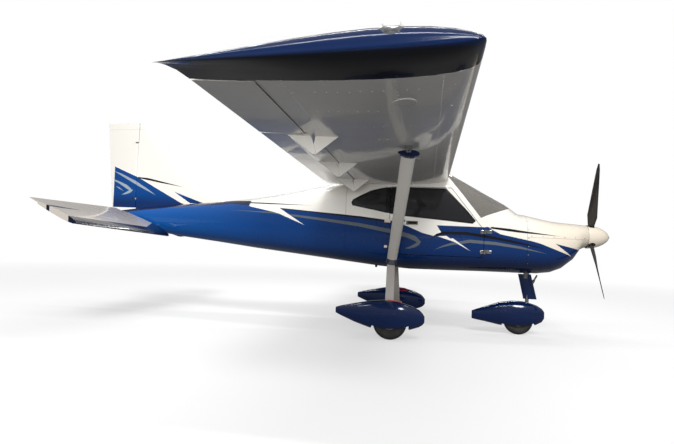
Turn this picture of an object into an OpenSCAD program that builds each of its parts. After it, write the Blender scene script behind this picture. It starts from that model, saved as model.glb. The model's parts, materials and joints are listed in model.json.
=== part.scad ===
// Two-seat high-wing microlight aircraft, parked on its three wheels.
// +X nose, +Y left wing, +Z up, origin on the floor below the middle of its length.
// Stations run aft from the spinner tip, and heights run up from the floor.

/* [Fuselage] */
// Spinner tip to firewall
nose_len = 980; // [900:10:1150]
// Firewall to tail cone joint
cabin_len = 2020; // [1900:10:2300]
// Cabin joint to end of tail cone
cone_len = 3180; // [2700:10:3800]
// Width outside the cabin
cabin_w = 1100; // [1000:10:1300]
// Belly above the floor
belly_z = 715; // [640:5:850]
// Cabin wall thickness
wall = 25; // [15:1:35]
// Tail cone and cowling wall thickness
skin = 4.5; // [4:0.5:10]
// Window glass thickness
glass_t = 5; // [3:1:8]

/* [Doors] */
// Door sill above the belly
sill_h = 170; // [140:5:200]
// Firewall to front edge of door
door_front = 465; // [440:5:500]
// Door length at its hinge height
door_len = 1047; // [960:5:1080]
// Door thickness
door_t = 36; // [26:1:44]
// Gap round each door
door_gap = 6; // [5:0.5:8]

/* [Wing] */
// Tip to tip
wing_span = 8700; // [7400:50:10200]
// Leading edge to trailing edge
wing_chord = 1400; // [1300:10:1500]
// Spinner tip to wing leading edge
wing_s = 1847; // [1800:5:1880]
// Leading edge above the belly, where it meets the cabin
wing_h = 1050; // [1045:5:1080]
// Rise of each panel, degrees
dihedral = 1.2; // [0:0.1:3]
// Nose-up setting of the chord, degrees
incidence = 3; // [1:0.1:4]
// Wing skin thickness
wing_skin = 6; // [4:0.5:9]
// Skin of ailerons, flaps, fin and tailplane
surface_skin = 3.5; // [3:0.5:6]
// Chord of aileron and flap
flap_chord = 385; // [330:5:420]
// Length of each aileron
aileron_len = 1100; // [900:10:1250]
// Flap hinge below the wing skin
flap_drop = 115; // [90:5:130]

/* [Tail] */
// Fin top above the belly
fin_h = 1770; // [1500:10:2000]
// Rudder chord at its foot
rudder_chord = 325; // [270:5:400]
// Tailplane tip to tip
tail_span = 3500; // [2800:20:4200]
// Tailplane chord at the root
tail_chord = 830; // [740:10:900]
// Tailplane chord at the tip
tail_tip_chord = 620; // [500:10:720]
// Trailing edge up at rest, degrees
tail_rest = 24; // [0:1:26]
// Anti-servo tab chord
tab_chord = 125; // [100:5:150]

/* [Landing gear] */
// Tyre outer diameter
tyre_d = 350; // [320:5:380]
// Tyre width
tyre_w = 120; // [100:2:130]
// Nose tyre outer diameter
nose_tyre_d = 330; // [300:5:350]
// Nose tyre width
nose_tyre_w = 100; // [90:2:108]
// Half the distance between the main tyres
half_track = 918; // [880:2:1000]
// Spinner tip to main axle
main_s = 2421; // [2380:5:2440]
// Spinner tip to nose axle
nose_s = 985; // [960:5:1010]
// Axle radius
axle_r = 12.5; // [10:0.5:15]

/* [Propeller] */
// Propeller diameter
prop_d = 1714; // [1500:10:1900]
// Spinner length
spinner_len = 255; // [220:5:280]
// Spinner radius at its base
spinner_r = 134; // [110:1:135]

/* [Hidden] */

fit = 0.06;          // radial clearance of a pin in its bore
seat = 0.4;          // clearance of a piece in its seat
clear = 6;           // clearance of a moving piece
ring_n = 36;         // corners of a fuselage section
foil_n = 11;         // points on each side of a wing section

cowl_s = spinner_len + 8;
joint_s = nose_len + cabin_len;
end_s = joint_s + cone_len;
rudder_s = end_s - 245;                 // rudder hinge line
rudder_sweep = 108;                     // trailing edge aft of its foot at the top
overall_len = rudder_s + rudder_chord + rudder_sweep;
prop_z = belly_z + 454;
wheel_z = tyre_d / 2;
nose_wheel_z = nose_tyre_d / 2;

function sx(s) = overall_len / 2 - s;   // station to x

// Fuselage sections: zone (0 cowl front, 1 firewall, 2 joint, 3 end), half width as a
// share, lowest and highest points above the belly, squareness.
body = [
    [0.000, 0.282, 335,  583, 2.1],
    [0.114, 0.418, 300,  589, 2.2],
    [0.233, 0.527, 175,  595, 2.4],
    [0.402, 0.636,  76,  604, 2.5],
    [0.573, 0.718,  26,  617, 2.6],
    [0.760, 0.778,   9,  643, 2.7],
    [1.000, 0.833,   5,  678, 2.9],
    [1.035, 0.860,   5,  686, 2.95],
    [1.069, 0.882,   6,  737, 3.0],
    [1.109, 0.905,   6,  793, 3.1],
    [1.233, 0.967,   6,  925, 3.4],
    [1.332, 0.991,   4, 1036, 3.7],
    [1.431, 1.000,   2, 1143, 4.0],
    [1.629, 1.000,   0, 1155, 4.2],
    [1.802, 0.955,  17, 1125, 4.0],
    [2.000, 0.873,  55, 1040, 3.6],
    [2.098, 0.796,  86,  962, 3.2],
    [2.211, 0.713, 120,  885, 2.9],
    [2.374, 0.591, 170,  801, 2.6],
    [2.535, 0.469, 228,  745, 2.4],
    [2.692, 0.345, 280,  702, 2.3],
    [2.849, 0.222, 345,  655, 2.2],
    [3.000, 0.082, 420,  590, 2.1]];

function zone_s(t) = t < 1 ? cowl_s + t * (nose_len - cowl_s)
    : t < 2 ? nose_len + (t - 1) * cabin_len : joint_s + (t - 2) * cone_len;
sections = [for (r = body) [zone_s(r[0]), r[1] * cabin_w / 2, belly_z + r[2], belly_z + r[3], r[4]]];

function section_at(s, i = 0) = s <= sections[i + 1][0] || i == len(sections) - 2
    ? let(a = sections[i], b = sections[i + 1], u = (s - a[0]) / (b[0] - a[0])) a + u * (b - a)
    : section_at(s, i + 1);
function signed_pow(v, e) = sign(v) * pow(abs(v), e);
function ring(c, inset) = [for (i = [0:ring_n - 1])
    let(a = 360 * (i + 0.5) / ring_n, e = 2 / c[4])
    [sx(c[0]), (c[1] - inset) * signed_pow(cos(a), e),
     (c[2] + c[3]) / 2 + ((c[3] - c[2]) / 2 - inset) * signed_pow(sin(a), e)]];

// A solid between two closed rings of points
module between(a, b) {
    n = len(a);
    polyhedron(points = concat(a, b), faces = concat(
        [[for (i = [0:n - 1]) i]], [[for (i = [n - 1:-1:0]) n + i]],
        [for (i = [0:n - 1]) [i, n + i, (i + 1) % n]],
        [for (i = [0:n - 1]) [(i + 1) % n, n + i, n + (i + 1) % n]]));
}

module body_loft(s0, s1, inset = 0) {
    st = concat([s0], [for (c = sections) if (c[0] > s0 + 1 && c[0] < s1 - 1) c[0]], [s1]);
    for (i = [0:len(st) - 2])
        hull() between(ring(section_at(st[i]), inset), ring(section_at(st[i + 1]), inset));
}

module both() {
    children();
    mirror([0, 1, 0]) children();
}
module on_right() mirror([0, 1, 0]) children();
module along_y(y0, y1) translate([0, y1, 0]) rotate([90, 0, 0]) linear_extrude(y1 - y0) children();
module rod_y(r, y0, y1) translate([0, y0, 0]) rotate([-90, 0, 0]) cylinder(r = r, h = y1 - y0, $fn = 48);

// A prism along Y through the left side, round-cornered; corners are [station, height, radius]
module side_prism(corners, grow = 0, y0 = 150, y1 = 900)
    hull() for (c = corners)
        translate([sx(c[0]), 0, c[1]]) along_y(y0, y1) circle(r = c[2] + grow, $fn = 32);

// ---------------------------------------------------------------- cabin
door_s = nose_len + door_front;
door_end = door_s + door_len;
sill_z = belly_z + sill_h;
roof_line = belly_z + 935;              // top edge of doors, under the wing

door_corners = [[door_s + 40, sill_z + 40, 40], [door_s + 40, sill_z + 285, 40],
    [door_s + 375, roof_line - 20, 20], [door_end - 30, roof_line - 20, 20],
    [door_end - 30, sill_z + 335, 30], [door_end - 150, sill_z + 40, 40]];
door_window_corners = [[door_s + 135, sill_z + 405, 18], [door_end - 90, sill_z + 475, 20],
    [door_end - 90, roof_line - 45, 20], [door_s + 450, roof_line - 38, 16]];
quarter_corners = [[door_end + 62, sill_z + 503, 20], [door_end + 62, roof_line - 45, 20],
    [door_end + 215, roof_line - 88, 22], [door_end + 400, sill_z + 574, 28]];
screen_corners = [[nose_len + 85, belly_z + 690, 12], [nose_len + 412, belly_z + 534, 30],
    [wing_s - 22, belly_z + 1060, 16], [wing_s - 22, belly_z + 1250, 16],
    [nose_len + 85, belly_z + 1250, 12]];

leg_top = [main_s + 46, 330, belly_z + 62];
leg_foot = [main_s + 23, half_track - 134, wheel_z + 10];
leg_w = 92;
leg_t = 24;

module leg_blade(extra = 0) {
    d = leg_foot - leg_top;
    hull() for (e = [0, 1])
        translate([sx(leg_top[0] + e * d[0]), leg_top[1] + e * d[1], leg_top[2] + e * d[2]])
            rotate([atan2(d[1], -d[2]), 0, 0])
                cube([leg_w + 2 * extra, leg_t + 2 * extra, 2], center = true);
}

module cabin_shell() color("white") difference() {
    body_loft(nose_len, joint_s);
    body_loft(nose_len + wall, joint_s - wall, wall);
    side_prism(screen_corners, 0, -900, 900);
    both() {
        side_prism(door_corners);
        side_prism(quarter_corners);
        leg_blade(seat);
    }
}

// The part of the cabin wall between two insets
module wall_slice(s0, s1, outer, inner) difference() {
    body_loft(s0, s1, outer);
    body_loft(s0 - 20, s1 + 20, inner);
}

module windshield() color("lightblue", 0.4) intersection() {
    wall_slice(nose_len + 30, wing_s + 30, 3, 3 + glass_t);
    side_prism(screen_corners, -seat, -900, 900);
}

module quarter_windows() color("black", 0.6) both() intersection() {
    wall_slice(door_end, joint_s - 40, 3, 3 + glass_t);
    side_prism(quarter_corners, -seat);
}

module door() difference() {
    intersection() {
        wall_slice(door_s - 30, door_end + 30, 0, door_t);
        side_prism(door_corners, -door_gap);
    }
    side_prism(door_window_corners);
}

// Door hinges stand just outside the skin on a vertical pin.
hinge_r = 14;
pin_r = 5;
hinge_leaf = 48;
hinge_h = 46;
hinge_s = door_s - 4;
hinge_y = section_at(door_s)[1] + hinge_r + 4;
hinge_heights = [belly_z + 235, belly_z + 455];

// Half a hinge: a barrel on the pin's axis and a leaf on the skin; side 1 is on the door
module half_hinges(side) for (z = hinge_heights)
    translate([sx(hinge_s), hinge_y, z]) difference() {
        union() {
            translate([0, 0, side > 0 ? -hinge_h / 2 : seat / 2])
                cylinder(r = hinge_r, h = hinge_h / 2 - seat / 2, $fn = 48);
            translate([side > 0 ? -hinge_leaf : 0, -hinge_r - 34, side > 0 ? -hinge_h / 2 : seat / 2])
                cube([hinge_leaf, 40, hinge_h / 2 - seat / 2]);
        }
        if (side > 0) cylinder(r = pin_r + fit, h = 2 * hinge_h, center = true, $fn = 48);
        translate([-sx(hinge_s), -hinge_y, -z])
            if (side > 0) body_loft(door_s - 5, door_s + 60, -seat); else body_loft(door_s - 60, door_s, -seat);
    }

module right_door() color("navy") on_right() door();
module left_door() color("navy") door();

module door_glass() intersection() {
    wall_slice(door_s, door_end, 3, 3 + glass_t);
    side_prism(door_window_corners, -seat);
}
module right_door_window() color("black", 0.6) on_right() door_glass();
module left_door_window() color("black", 0.6) door_glass();
module door_hinges() color("silver") both() {
    half_hinges(-1);
    for (z = hinge_heights) translate([sx(hinge_s), hinge_y, z - hinge_h / 2])
        cylinder(r = pin_r, h = hinge_h, $fn = 48);
}
module right_door_hinges() color("silver") on_right() half_hinges(1);
module left_door_hinges() color("silver") half_hinges(1);

// ---------------------------------------------------------------- cabin inside
floor_z = belly_z + 88;
module cabin_floor() color("dimgray") intersection() {
    translate([sx(door_end + 120), -cabin_w, floor_z - 12])
        cube([door_end + 120 - nose_len - wall - 2, 2 * cabin_w, 12]);
    body_loft(nose_len + wall, joint_s - wall, wall + seat);
}

module instrument_panel() color("gray") intersection() {
    translate([sx(nose_len + 330), -cabin_w, belly_z + 330]) cube([60, 2 * cabin_w, 300]);
    body_loft(nose_len + wall, joint_s - wall, wall + seat);
}

seat_w = 400;
seat_s = door_end - 80;                  // back edge of the cushion
seat_base_h = 80;
cushion_t = 100;
seat_back_t = 60;
module seat_pad() translate([sx(seat_s), 225, floor_z + seat]) {
    translate([60, -130, 0]) cube([300, 260, seat_base_h]);
    translate([0, -seat_w / 2, seat_base_h + seat]) cube([440, seat_w, cushion_t]);
    translate([0, -seat_w / 2, seat_base_h + cushion_t + 2 * seat]) rotate([0, -14, 0])
        cube([seat_back_t, seat_w, 520]);
}
module right_seat() color("darkslategray") on_right() seat_pad();
module left_seat() color("darkslategray") seat_pad();

// ---------------------------------------------------------------- tail cone, nose
module tail_cone() color("royalblue") difference() {
    body_loft(joint_s + seat, end_s);
    body_loft(joint_s - 50, end_s - 60, skin);
    translate([sx(tail_s), 0, tail_z]) rod_y(bearing_r + seat, -cabin_w, cabin_w);
}

cowl_split = prop_z - 40;
module cowl_shell() difference() {
    body_loft(cowl_s, nose_len - seat);
    body_loft(cowl_s + skin, nose_len + 50, skin);
    translate([sx(cowl_s - 50), 0, prop_z]) rotate([0, -90, 0]) cylinder(r = 60, h = 200, $fn = 48);
    both() translate([sx(cowl_s - 50), 108, prop_z - 8]) rotate([0, -90, 0]) scale([1, 0.6, 1])
        cylinder(r = 52, h = 160, $fn = 48);
}
module upper_cowling() color("white") intersection() {
    cowl_shell();
    translate([sx(nose_len), -cabin_w, cowl_split + seat / 2]) cube([nose_len, 2 * cabin_w, 1000]);
}
module lower_cowling() color("navy") difference() {
    intersection() {
        cowl_shell();
        translate([sx(nose_len), -cabin_w, cowl_split - seat / 2 - 1000]) cube([nose_len, 2 * cabin_w, 1000]);
    }
    translate([sx(steer_s), 0, belly_z - 60]) cylinder(r = leg_r + 16, h = 160, $fn = 48);
    translate([sx(exhaust_s), -exhaust_y, belly_z - 60]) cylinder(r = exhaust_r + 12, h = 160, $fn = 48);
}

engine_len = 510;
engine_z = prop_z - 240;                 // underside of the engine
engine_h = 310;
module engine_block() color("darkgray") translate([sx(nose_len - seat), 0, engine_z])
    linear_extrude(engine_h) polygon([[0, -385], [engine_len, -212], [engine_len, 212], [0, 385]]);

shaft_r = 24;
module propeller_shaft() color("silver") translate([sx(nose_len - engine_len - 2 * seat), 0, prop_z])
    rotate([0, 90, 0]) cylinder(r = shaft_r, h = nose_len - engine_len - 165, $fn = 48);

exhaust_s = 940;
exhaust_y = 160;
exhaust_r = 22;
module exhaust_pipe() color("silver") translate([sx(exhaust_s), -exhaust_y, 0]) difference() {
    translate([0, 0, belly_z - 50]) cylinder(r = exhaust_r, h = engine_z - seat - belly_z + 50, $fn = 48);
    translate([0, 0, belly_z - 51]) cylinder(r = exhaust_r - 2, h = 90, $fn = 48);
}

// ---------------------------------------------------------------- propeller
prop_s = 215;
hub_r = 62;
module propeller_hub() color("dimgray") translate([sx(prop_s), 0, prop_z]) rotate([0, 90, 0])
    difference() {
        union() {
            cylinder(r = hub_r, h = 84, center = true, $fn = 48);
            translate([0, 0, -(spinner_len - prop_s)]) cylinder(r = spinner_r - 4 - seat, h = 6, $fn = 72);
        }
        translate([0, 0, -80]) cylinder(r = shaft_r + fit, h = 160, $fn = 48);
    }

// Blade rows: radius as a share, chord, thickness, twist from the propeller disc
blade_rows = [[(hub_r + seat) / (prop_d / 2), 60, 40, 40], [0.16, 80, 30, 42], [0.29, 136, 20, 35], [0.5, 122, 14, 26],
    [0.74, 96, 10, 20], [0.92, 66, 7, 16], [1.0, 30, 4, 14]];
function blade_ring(r) = [for (i = [0:15])
    let(a = 22.5 * i, u = r[1] / 2 * cos(a), v = r[2] / 2 * sin(a))
    [v * cos(r[3]) - u * sin(r[3]), u * cos(r[3]) + v * sin(r[3]), r[0] * prop_d / 2]];
module blade() for (i = [0:len(blade_rows) - 2])
    hull() between(blade_ring(blade_rows[i + 1]), blade_ring(blade_rows[i]));
blade_turn = 20;
module propeller_blades() color("black") translate([sx(prop_s), 0, prop_z])
    for (k = [0:2]) rotate([blade_turn + 120 * k, 0, 0]) blade();

module spinner() color("white") translate([sx(0), 0, prop_z]) rotate([0, -90, 0]) difference() {
    rotate_extrude($fn = 72) polygon(concat(
        [for (i = [0:10]) let(u = i / 10) [spinner_r * pow(u * (2 - u), 0.66), u * spinner_len]],
        [for (i = [10:-1:1]) let(u = i / 10)
            [(spinner_r - 4) * pow(u * (2 - u), 0.66), 12 + u * (spinner_len - 18)]], [[0, 14]]));
    for (k = [0:2]) rotate([0, 0, 0]) translate([0, 0, prop_s])
        rotate([0, 0, -blade_turn - 120 * k]) rotate([0, 90, 0])
            cylinder(r = 42, h = spinner_r * 2, $fn = 48);
}

// ---------------------------------------------------------------- wing
root_y = 620;                            // inner end of each wing panel
join_y = 536;                            // where the leading edge meets the cabin
tip_w = 250;
panel_len = wing_span / 2 - root_y - tip_w;
wing_z = belly_z + wing_h + (root_y - join_y) * tan(dihedral);
front_chord = wing_chord - flap_chord;   // leading edge to rear wall
foil_t = 0.125;
foil_camber = 0.016;
camber_at = 0.35;

function foil_half(x) = 5 * foil_t * (0.2969 * sqrt(x) - 0.126 * x - 0.3516 * x * x
    + 0.2843 * pow(x, 3) - 0.1036 * pow(x, 4));
function foil_mid(x) = x < camber_at
    ? foil_camber / pow(camber_at, 2) * (2 * camber_at * x - x * x)
    : foil_camber / pow(1 - camber_at, 2) * (1 - 2 * camber_at + 2 * camber_at * x - x * x);
function upper_z(c) = wing_chord * (foil_mid(c / wing_chord) + foil_half(c / wing_chord));
function lower_z(c) = wing_chord * (foil_mid(c / wing_chord) - foil_half(c / wing_chord));
function spread(i, n) = (1 - cos(90 * i / n));       // close points near the leading edge

// Section outline between two chord positions, thinned by an inset
function foil_part(c0, c1, inset = 0) = concat(
    [for (i = [foil_n:-1:0]) let(c = c0 + (c1 - c0) * spread(i, foil_n)) [-c, max(upper_z(c) - inset, lower_z(c) + inset + 0.5)]],
    [for (i = [1:foil_n]) let(c = c0 + (c1 - c0) * spread(i, foil_n)) [-c, min(lower_z(c) + inset, upper_z(c) - inset - 0.5)]]);

module wing_frame() translate([sx(wing_s), root_y, wing_z])
    rotate([dihedral, 0, 0]) rotate([0, -incidence, 0]) children();

lip = 40;                                // skin that reaches over the gap
lip_t = 3;
aileron_y1 = panel_len - 18;
aileron_y0 = aileron_y1 - aileron_len;
flap_y1 = aileron_y0 - 18;
flap_y0 = 12;
aileron_nose = 37;
aileron_hinge_c = front_chord + lip + 10;
aileron_hinge_z = (upper_z(aileron_hinge_c) + lower_z(aileron_hinge_c)) / 2;
flap_hinge_c = front_chord + 12;
flap_hinge_z = lower_z(flap_hinge_c) - flap_drop;
hinge_pin_r = 6;
plate_t = 8;
bracket_ys = [flap_y0 + 215, (flap_y0 + flap_y1) / 2 + 60, flap_y1 - 60];

// Outline of the wing ahead of its rear wall, with the upper skin and, where asked, the
// lower skin carried back over the gap
function wing_outline(low) = let(c = front_chord, e = front_chord + lip) concat(
    [[-c, upper_z(c) - lip_t], [-e, upper_z(e) - lip_t], [-e, upper_z(e)]],
    foil_part(0, c),
    low ? [[-e, lower_z(e)], [-e, lower_z(e) + lip_t], [-c, lower_z(c) + lip_t]] : []);

module wing_panel() wing_frame() {
    difference() {
        union() {
            along_y(0, aileron_y0 - 9) polygon(wing_outline(false));
            along_y(aileron_y0 - 9, panel_len) polygon(wing_outline(true));
        }
        along_y(-1, panel_len + 1) polygon(foil_part(wing_skin * 2, front_chord - wing_skin, wing_skin));
    }
    // aileron hinge plates, each with a pin
    for (e = [[aileron_y0 - 6 - plate_t, 1], [aileron_y1 + 6, -1]]) {
        along_y(e[0], e[0] + plate_t) polygon([[-front_chord + 2, aileron_hinge_z + 22],
            [-front_chord + 2, aileron_hinge_z - 22], [-aileron_hinge_c - 12, aileron_hinge_z - 12],
            [-aileron_hinge_c - 12, aileron_hinge_z + 12]]);
        translate([-aileron_hinge_c, e[0] + plate_t / 2 + e[1] * 17, aileron_hinge_z])
            rod_y(hinge_pin_r, -17, 17);
    }
    // flap hinge brackets hang below the skin
    for (y = bracket_ys) {
        along_y(y, y + plate_t) polygon([[-front_chord, lower_z(front_chord) + 2],
            [-front_chord + 165, lower_z(front_chord - 165) + 2],
            [-flap_hinge_c + 14, flap_hinge_z - 12], [-flap_hinge_c - 12, flap_hinge_z - 12],
            [-flap_hinge_c - 12, flap_hinge_z + 14]]);
        translate([-flap_hinge_c, y, flap_hinge_z]) rod_y(hinge_pin_r, 0, plate_t * 2 + 6);
    }
}
module right_wing() color("white") on_right() wing_panel();
module left_wing() color("white") wing_panel();

// Hollow aileron, open at its outer end, on two pins
module aileron() wing_frame() difference() {
    union() {
        along_y(aileron_y0, aileron_y1) polygon(foil_part(aileron_hinge_c + 10, wing_chord));
        translate([-aileron_hinge_c, 0, aileron_hinge_z]) rod_y(aileron_nose, aileron_y0, aileron_y1);
    }
    along_y(aileron_y0 + 45, aileron_y1 + 1)
        polygon(foil_part(aileron_hinge_c + 14 + aileron_nose, wing_chord - 35, surface_skin));
    along_y(aileron_y0 + 45, aileron_y1 - 42)
        polygon(foil_part(aileron_hinge_c + 12, aileron_hinge_c + 90, surface_skin));
    translate([-aileron_hinge_c, 0, aileron_hinge_z])
        rod_y(aileron_nose - surface_skin, aileron_y0 + 45, aileron_y1 - 42);
    for (y = [aileron_y0 - 1, aileron_y1 - 34]) translate([-aileron_hinge_c, y, aileron_hinge_z])
        rod_y(hinge_pin_r + fit, 0, 35);
}
module right_aileron() color("white") on_right() aileron();
module left_aileron() color("white") aileron();

// Hollow flap, open at its outer end; its nose tucks under the wing's upper skin
flap_nose_c = front_chord + 8;
flap_full_c = front_chord + lip + 12;
module flap() wing_frame() {
    difference() {
        along_y(flap_y0, flap_y1) polygon(concat(
            [[-flap_nose_c - 6, lower_z(flap_nose_c + 6)], [-flap_nose_c, lower_z(flap_nose_c) + 12],
             [-flap_nose_c, upper_z(flap_nose_c) - 34], [-flap_nose_c - 14, upper_z(flap_nose_c) - 14]],
            [for (i = [0:foil_n]) let(c = flap_full_c + (wing_chord - flap_full_c) * i / foil_n) [-c, upper_z(c)]],
            [for (i = [foil_n - 1:-1:1]) let(c = flap_full_c + (wing_chord - flap_full_c) * i / foil_n) [-c, lower_z(c)]]));
        along_y(flap_y0 + 8, flap_y1 + 1) polygon(foil_part(flap_full_c + 4, wing_chord - 35, surface_skin));
    }
    for (y = bracket_ys) difference() {
        along_y(y + plate_t + 2, y + 2 * plate_t + 2) polygon([
            [-flap_hinge_c + 12, flap_hinge_z - 10], [-flap_hinge_c - 14, flap_hinge_z - 10],
            [-front_chord - 200, lower_z(front_chord + 200) + 3],
            [-front_chord - 30, lower_z(front_chord + 30) + 3],
            [-flap_hinge_c + 12, flap_hinge_z + 12]]);
        translate([-flap_hinge_c, y + plate_t, flap_hinge_z]) rod_y(hinge_pin_r + fit, 0, plate_t * 2);
    }
}
module right_flap() color("white") on_right() flap();
module left_flap() color("white") flap();

// Tip cap rows: y out from the panel, leading edge cut back, trailing edge run on, share of thickness, rise
cap_rows = [[seat, 0, 0, 1, 0], [120, 0, 10, 0.98, 3], [190, 2, 30, 0.86, 3], [228, 8, 48, 0.62, 0], [244, 18, 58, 0.38, -4],
    [tip_w, 32, 64, 0.2, -6]];
function cap_ring(r, inset = 0) = let(pts = foil_part(inset * 2, wing_chord - inset * 4, inset))
    [for (p = pts) [p[0] * (wing_chord + r[2] - r[1]) / wing_chord - r[1], panel_len + r[0], p[1] * r[3] + r[4]]];
module cap_solid(inset, rows) for (i = [0:len(rows) - 2])
    hull() between(cap_ring(rows[i], inset), cap_ring(rows[i + 1], inset));
module wing_tips() color("blue") both() wing_frame() difference() {
    cap_solid(0, cap_rows);
    cap_solid(wing_skin, concat([[-5, 0, 0, 1, 0]], [for (i = [1:3]) cap_rows[i]]));
}

module wing_root_fairings() color("white") both() difference() {
    wing_frame() along_y(-260, -seat) difference() {
        polygon(foil_part(0, wing_chord - 8));
        polygon(foil_part(wing_skin * 2, wing_chord - 60, wing_skin));
    }
    body_loft(nose_len + 60, joint_s + cone_len / 3, -seat);
}

// ---------------------------------------------------------------- struts
strut_foot = [main_s + 32, 0.405 * cabin_w, belly_z + 92];
strut_head_c = wing_s + 0.27 * wing_chord;
strut_head_y = 2459;
strut_head_z = wing_z + (strut_head_y - root_y) * tan(dihedral)
    - 0.27 * wing_chord * tan(incidence) + lower_z(0.27 * wing_chord) - 34;
strut_head = [strut_head_c, strut_head_y, strut_head_z];
strut_w = 112;
strut_t = 46;
strut_run = [-(strut_head[0] - strut_foot[0]), strut_head[1] - strut_foot[1], strut_head[2] - strut_foot[2]];
strut_len = norm(strut_run);

// Local z runs up the strut, local x is forward
module strut_frame() translate([sx(strut_foot[0]), strut_foot[1], strut_foot[2]])
    rotate([-atan2(strut_run[1], strut_run[2]), 0, 0])
        rotate([0, atan2(strut_run[0], norm([strut_run[1], strut_run[2]])), 0]) children();
function strut_outline(k = 1) = [for (i = [0:23]) let(a = 15 * i, u = cos(a))
    [k * strut_w / 2 * u, k * strut_t / 2 * sin(a) * (0.78 + 0.22 * u) * 1.12]];
module wing_struts() color("white") both() strut_frame()
    translate([0, 0, 75]) linear_extrude(strut_len - 100) polygon(strut_outline());

function flat_ring(pts, z) = [for (p = pts) [p[0], p[1], z]];
module strut_cuffs() color("navy") both() difference() {
    strut_frame() {
        hull() between(flat_ring(strut_outline(1.25), -60), flat_ring(strut_outline(1.15), 75 - seat));
        hull() between(flat_ring(strut_outline(1.05), strut_len - 25 + seat), flat_ring(strut_outline(1.5), strut_len + 16));
    }
    body_loft(nose_len + 60, joint_s, -seat);
    wing_frame() translate([0, 0, -seat]) along_y(0, panel_len) polygon(foil_part(0, front_chord));
}

// Tie-down plates with a rope hole: one below each wing, one below the end of the cone
lug_hole = 8;
lug_c = 0.27 * wing_chord;
lug_y = strut_head_y - root_y + 160;
tail_lug_s = end_s - 90;
tail_lug_low = section_at(tail_lug_s)[2] - 38;
module tie_down_lugs() color("silver") {
    both() wing_frame() difference() {
        along_y(lug_y, lug_y + plate_t) polygon([[-lug_c - 34, lower_z(lug_c + 34) - seat], [-lug_c - 16, lower_z(lug_c) - 52],
            [-lug_c + 16, lower_z(lug_c) - 52], [-lug_c + 34, lower_z(lug_c - 34) - seat]]);
        translate([-lug_c, 0, lower_z(lug_c) - 34]) rod_y(lug_hole, lug_y - 1, lug_y + plate_t + 1);
    }
    difference() {
        translate([0, 0, tail_lug_low]) along_y(-plate_t / 2, plate_t / 2) polygon([[sx(tail_lug_s + 36), 90],
            [sx(tail_lug_s + 16), -16], [sx(tail_lug_s - 16), -16], [sx(tail_lug_s - 36), 90]]);
        body_loft(tail_lug_s - 60, tail_lug_s + 60, -seat);
        translate([sx(tail_lug_s), 0, tail_lug_low + 4]) rod_y(lug_hole, -plate_t, plate_t);
    }
}

// ---------------------------------------------------------------- fin, rudder
// Fin rows: height above the belly, leading edge ahead of the rudder hinge, half thickness
fin_rows = [[600, 1330, 30], [780, 1275, 34], [815, 1120, 38], [892, 960, 42], [1024, 795, 43],
    [1190, 632, 41], [fin_h - 270, 339, 32], [fin_h, 60, 20]];
fin_gap = 34;                            // rear face of the fin to the rudder hinge line
function fin_ring(r, inset = 0) = [for (i = [0:19]) let(a = i < 10 ? 10 * i : -10 * (19 - i),
        back = fin_gap + inset, reach = r[1] - back - inset * 4)
    [sx(rudder_s - back - reach * cos(a)), (0.78 * r[2] - inset) * sin(a), belly_z + r[0]]];
fin_skin = surface_skin;
module fin() color("white") difference() {
    for (i = [0:len(fin_rows) - 2]) hull() between(fin_ring(fin_rows[i + 1]), fin_ring(fin_rows[i]));
    for (i = [0:len(fin_rows) - 3])
        hull() between(fin_ring(fin_rows[i + 1], fin_skin), fin_ring(fin_rows[i], fin_skin));
    body_loft(joint_s, end_s + 1, -seat);
}

rudder_foot_z = belly_z + 640;
rudder_top_z = belly_z + fin_h;
rudder_nose = 26;
rudder_pin_zs = [rudder_foot_z + 120, rudder_top_z - 260];
slot_h = plate_t + 2 * clear;
module rudder() color("white") difference() {
    hull() for (e = [[rudder_foot_z, rudder_chord, rudder_nose], [rudder_top_z, rudder_chord + rudder_sweep, rudder_nose - 6]])
        translate([sx(rudder_s), 0, e[0]]) {
            cylinder(r = e[2], h = 1, $fn = 32);
            translate([-e[1] + 3, 0, 0]) cylinder(r = 3, h = 1, $fn = 16);
        }
    hull() for (e = [[rudder_foot_z - 1, rudder_chord, 20], [rudder_top_z - 12, rudder_chord + rudder_sweep, 15]])
        translate([sx(rudder_s), 0, e[0]]) {
            translate([-34, 0, 0]) cylinder(r = e[2], h = 1, $fn = 24);
            translate([-e[1] + 70, 0, 0]) cylinder(r = 2, h = 1, $fn = 12);
        }
    for (z = rudder_pin_zs) {
        translate([sx(rudder_s) - 20, -60, z - slot_h / 2]) cube([80, 120, slot_h]);
        translate([sx(rudder_s), 0, z - 40]) cylinder(r = hinge_pin_r + fit, h = 80, $fn = 48);
    }
}
module rudder_hinges() color("silver") for (z = rudder_pin_zs) {
    translate([sx(rudder_s) - 12, -12, z - plate_t / 2]) cube([12 + fin_gap - seat, 24, plate_t]);
    translate([sx(rudder_s), 0, z - 36]) cylinder(r = hinge_pin_r, h = 72, $fn = 48);
}

// ---------------------------------------------------------------- stabilator
tail_s = end_s - 632;                    // pivot
tail_z = belly_z + 382;
bearing_r = 34;
tube_r = 24;
tail_root_y = 188;
pivot_share = 0.30;
tail_t = 0.10;
tail_skin = surface_skin;
tab_gap = 0.5;
tab_nose = 8;
tail_te = tail_chord * (1 - pivot_share);
tab_c = tail_te - tab_chord;             // tab hinge, aft of the pivot
function tail_half(x) = 5 * tail_t * (0.2969 * sqrt(x) - 0.126 * x - 0.3516 * x * x
    + 0.2843 * pow(x, 3) - 0.1036 * pow(x, 4));
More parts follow.
